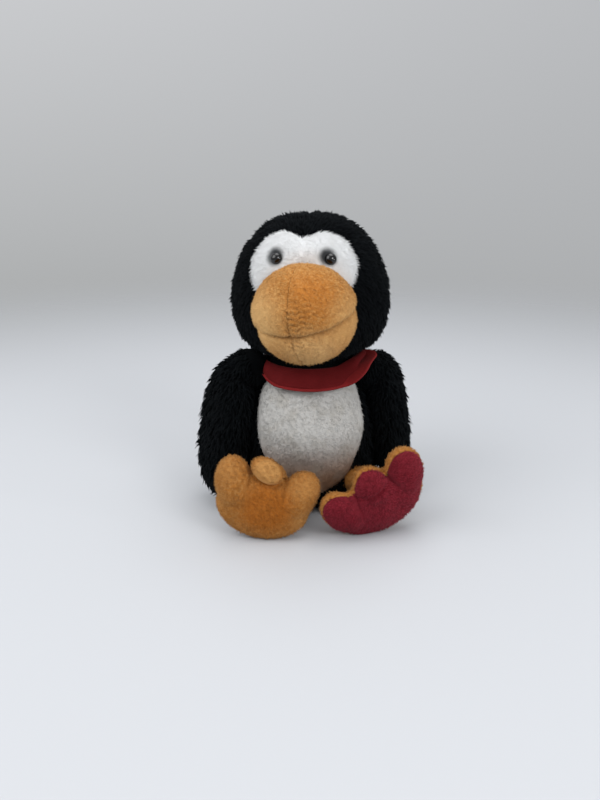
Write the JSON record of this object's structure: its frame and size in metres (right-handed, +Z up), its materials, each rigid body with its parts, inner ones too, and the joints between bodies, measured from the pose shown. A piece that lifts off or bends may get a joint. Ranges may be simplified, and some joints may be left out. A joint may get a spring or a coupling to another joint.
{
  "type": "plush toy penguin",
  "caption": "Sitting plush toy penguin with black fur, white face and belly, orange beak and feet, and a red cloth neckerchief.",
  "frame": {"origin": "centre of the bounding box in plan, on the plane the toy sits on", "axes": "+Z up through the head, -Y the way the toy's body faces, +X the penguin's own left"},
  "size_m": [0.1722, 0.1742, 0.2295],
  "materials": {
    "black_plush": "long pile fur fabric",
    "white_plush": "short pile plush",
    "orange_plush": "short pile plush",
    "raspberry_plush": "short pile plush",
    "red_cloth": "smooth knitted cloth",
    "fibrefill": "loose polyester fibre",
    "pellet_bag": "plain cloth bag of plastic pellets",
    "eye_plastic": "polished",
    "washer_plastic": "moulded"
  },
  "bodies": {
    "torso": {"torso_right_panel": "black_plush", "torso_left_panel": "black_plush", "torso_belly_panel": "white_plush", "torso_seat_panel": "black_plush", "torso_pellet_bag": "pellet_bag", "torso_stuffing": "fibrefill"},
    "neck": {"neck_stuffing": "fibrefill"},
    "head": {"head_face_mask": "white_plush", "head_left_panel": "black_plush", "head_right_panel": "black_plush", "head_stuffing": "fibrefill", "eye_left": "eye_plastic", "eye_right": "eye_plastic", "eye_washer_left": "washer_plastic", "eye_washer_right": "washer_plastic", "beak_upper_left_panel": "orange_plush", "beak_upper_right_panel": "orange_plush", "beak_lower_right_panel": "orange_plush", "beak_lower_left_panel": "orange_plush", "beak_stuffing": "fibrefill"},
    "wing_left": {"wing_left_outer_panel": "black_plush", "wing_left_inner_panel": "black_plush", "wing_left_stuffing": "fibrefill"},
    "wing_right": {"wing_right_outer_panel": "black_plush", "wing_right_inner_panel": "black_plush", "wing_right_stuffing": "fibrefill"},
    "foot_left": {"foot_left_sole_panel": "raspberry_plush", "foot_left_top_panel": "orange_plush", "foot_left_stuffing": "fibrefill", "leg_left_panel": "orange_plush", "leg_left_stuffing": "fibrefill"},
    "foot_right": {"foot_right_sole_panel": "orange_plush", "foot_right_top_panel": "orange_plush", "foot_right_stuffing": "fibrefill", "leg_right_panel": "orange_plush", "leg_right_stuffing": "fibrefill"},
    "tail": {"tail_upper_panel": "black_plush", "tail_lower_panel": "black_plush", "tail_stuffing": "fibrefill"},
    "neckerchief": {"neckerchief_band": "red_cloth", "neckerchief_under_fold": "red_cloth", "neckerchief_knot": "red_cloth", "neckerchief_tail_left": "red_cloth", "neckerchief_tail_right": "red_cloth"}
  },
  "joints": [
    {"name": "neck_turn", "type": "hinge", "parent": "torso", "child": "neck", "pos_m": [0.0038, 0.0132, 0.115], "axis": [0, 0, 1], "range_deg": [-30, 30], "stiffness_Nm_per_rad": 0.1},
    {"name": "head_nod", "type": "hinge", "parent": "neck", "child": "head", "pos_m": [0.0038, 0.0132, 0.115], "axis": [0.989, -0.1478, 0], "range_deg": [-8, 8], "stiffness_Nm_per_rad": 0.35},
    {"name": "wing_left_lift", "type": "hinge", "parent": "torso", "child": "wing_left", "pos_m": [0.0608, 0.0092, 0.113], "axis": [0, -1, 0], "range_deg": [0, 85]},
    {"name": "wing_right_lift", "type": "hinge", "parent": "torso", "child": "wing_right", "pos_m": [-0.0532, 0.0052, 0.111], "axis": [0, 1, 0], "range_deg": [0, 85]},
    {"name": "foot_left_tilt", "type": "hinge", "parent": "torso", "child": "foot_left", "pos_m": [0.0378, -0.0338, 0.025], "axis": [0.9563, 0.2924, 0], "range_deg": [-4, 25], "stiffness_Nm_per_rad": 0.06},
    {"name": "foot_right_tilt", "type": "hinge", "parent": "torso", "child": "foot_right", "pos_m": [-0.0272, -0.0358, 0.024], "axis": [1, 0, 0], "range_deg": [-4, 25], "stiffness_Nm_per_rad": 0.06},
    {"name": "tail_lift", "type": "hinge", "parent": "torso", "child": "tail", "pos_m": [0.0038, 0.0587, 0.015], "axis": [1, 0, 0], "range_deg": [-8, 25], "stiffness_Nm_per_rad": 0.02},
    {"name": "neckerchief_turn", "type": "hinge", "parent": "torso", "child": "neckerchief", "pos_m": [0.0038, 0.0132, 0.11], "axis": [0, 0, 1], "range_deg": [-6, 6]}
  ]
}
